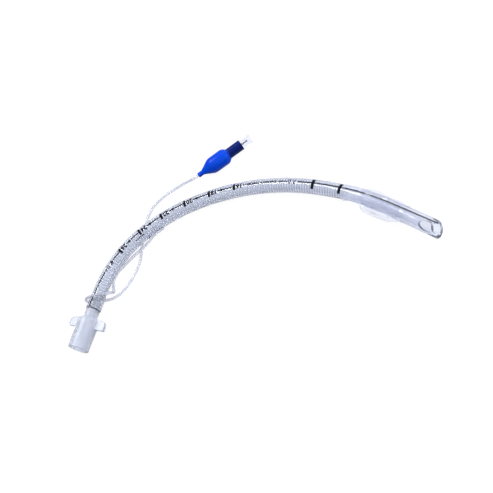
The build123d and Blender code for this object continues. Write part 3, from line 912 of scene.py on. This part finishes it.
def print_piece():
    """All the print: laid flat, cut into small steps, thickened and wrapped on the wall."""
    shape = bmesh.new()
    free = add_marks(shape)
    edge = LINE_START
    for start, end in sorted(free) + [(TUBE_LENGTH - LINE_STOP, TUBE_LENGTH)]:
        if start > edge:
            add_bar(shape, edge, start, -LINE_WIDTH / 2, LINE_WIDTH / 2)
        edge = max(edge, end)
    for from_zero in RING_MARKS:
        at = MARK_ZERO - from_zero
        low, high = [(math.radians(angle) - line_angle(at)) * SHAFT_RADIUS for angle in RING_ANGLES]
        add_bar(shape, at - RING_REACH, at + RING_REACH, low, high)
    cut_flat(shape, np.arange(-PRINT_REACH, PRINT_REACH, BEND_STEP_ROUND), (0.0, 1.0, 0.0))
    cut_flat(shape, np.arange(0.0, TUBE_LENGTH, BEND_STEP_ALONG), (1.0, 0.0, 0.0))
    made = bmesh.ops.extrude_face_region(shape, geom=shape.faces[:])
    for item in made["geom"]:
        if isinstance(item, bmesh.types.BMVert):
            item.co.z = INK_THICKNESS
    flat = np.array([v.co[:] for v in shape.verts])
    wall = np.where(flat[:, 0] > SHAFT_END, TIP_RADIUS,
                    np.where(flat[:, 0] < FLARE_LENGTH + FLARE_BLEND, FLARE_RADIUS, SHAFT_RADIUS))
    angles = line_angle(flat[:, 0]) + flat[:, 1] / SHAFT_RADIUS
    wrapped = tube_points(flat[:, 0], angles, wall + INK_LIFT + flat[:, 2])
    for vertex, place in zip(shape.verts, wrapped):
        vertex.co = place
    bmesh.ops.recalc_face_normals(shape, faces=shape.faces)
    mesh = bpy.data.meshes.new("depth_print")
    shape.to_mesh(mesh)
    shape.free()
    return new_piece("depth_print", mesh)


place_piece(print_piece(), ink, "tube", "clear_tube")


# Floor, backdrop, lamps and camera
def floor_material():
    """White where it is seen or mirrored, and plain pale where it lights the tube; the shadow stays."""
    material = bpy.data.materials.new("pale_floor")
    material.use_nodes = True
    tree = material.node_tree
    nodes, links = tree.nodes, tree.links
    nodes.clear()
    output = nodes.new("ShaderNodeOutputMaterial")
    matte = nodes.new("ShaderNodeBsdfDiffuse")
    matte.inputs["Color"].default_value = (FLOOR_MATTE, FLOOR_MATTE, FLOOR_MATTE, 1.0)
    glow = nodes.new("ShaderNodeEmission")
    rays = nodes.new("ShaderNodeLightPath").outputs
    seen = math_node(tree, "MAXIMUM", rays["Is Camera Ray"], rays["Is Glossy Ray"])
    seen = math_node(tree, "MAXIMUM", seen, rays["Is Transmission Ray"])
    links.new(math_node(tree, "MULTIPLY", seen, FLOOR_GLOW), glow.inputs["Strength"])
    both = nodes.new("ShaderNodeAddShader")
    links.new(matte.outputs[0], both.inputs[0])
    links.new(glow.outputs[0], both.inputs[1])
    links.new(both.outputs[0], output.inputs["Surface"])
    return material


def floor_piece():
    """Large square at the table's height."""
    mesh = bpy.data.meshes.new("floor")
    corners = [(x * FLOOR_HALF, y * FLOOR_HALF, TABLE_Z) for x, y in ((-1, -1), (1, -1), (1, 1), (-1, 1))]
    mesh.from_pydata(corners, [], [(0, 1, 2, 3)])
    mesh.materials.append(floor_material())
    return new_piece("floor", mesh)


floor_piece()


def studio_world():
    """White behind the object; softer towards the horizon, which gives clear plastic its darker rims."""
    world = bpy.data.worlds.new("studio")
    bpy.context.scene.world = world
    world.use_nodes = True
    tree = world.node_tree
    nodes, links = tree.nodes, tree.links
    nodes.clear()
    output = nodes.new("ShaderNodeOutputWorld")
    place = nodes.new("ShaderNodeTexCoord").outputs["Generated"]
    facing = vector_node(tree, "DOT_PRODUCT", place, BRIGHT_SIDE)
    level = range_node(tree, facing, BRIGHT_ENDS, BRIGHT_LEVELS, easing="SMOOTHSTEP")
    studio = nodes.new("ShaderNodeBackground")
    studio.inputs["Color"].default_value = (0.97, 0.98, 1.0, 1.0)
    links.new(level, studio.inputs["Strength"])
    white = nodes.new("ShaderNodeBackground")
    white.inputs["Color"].default_value = (1.0, 1.0, 1.0, 1.0)
    rays = nodes.new("ShaderNodeLightPath").outputs
    through = math_node(tree, "MULTIPLY", rays["Is Transmission Ray"], WHITE_THROUGH)
    choose = nodes.new("ShaderNodeMixShader")
    links.new(math_node(tree, "MAXIMUM", rays["Is Camera Ray"], through), choose.inputs["Fac"])
    links.new(studio.outputs[0], choose.inputs[1])
    links.new(white.outputs[0], choose.inputs[2])
    links.new(choose.outputs[0], output.inputs["Surface"])


studio_world()


def soft_lamp(name, direction, distance, size, power):
    """Square lamp that faces the middle of the tube."""
    lamp = bpy.data.lights.new(name, "AREA")
    lamp.shape = "SQUARE"
    lamp.size = size
    lamp.energy = power
    item = new_piece(name, lamp)
    middle = (cad_box[0] + cad_box[1]) / 2
    away = Vector(direction).normalized()
    item.location = middle + away * distance
    item.rotation_mode = "QUATERNION"
    item.rotation_quaternion = away.to_track_quat("Z", "Y")


for lamp_values in LAMPS:
    soft_lamp(*lamp_values)

# Camera: level first, then rolled about its line of sight
back = (CAMERA_AT - CAMERA_AIM).normalized()
level_up = (Vector((0, 0, 1)) - back * back.z).normalized()
level_right = level_up.cross(back)
camera_up = level_up * math.cos(CAMERA_ROLL) + level_right * math.sin(CAMERA_ROLL)
camera_right = camera_up.cross(back)
camera_data = bpy.data.cameras.new("camera")
camera_data.lens = CAMERA_LENS
camera_data.sensor_width = CAMERA_SENSOR
camera_data.clip_start = CAMERA_NEAR
camera_data.clip_end = CAMERA_FAR
camera = new_piece("camera", camera_data)
turned = Matrix((camera_right, camera_up, back)).transposed().to_4x4()
camera.matrix_world = Matrix.Translation(CAMERA_AT) @ turned
bpy.context.scene.camera = camera
bpy.context.scene.view_settings.view_transform = "Standard"
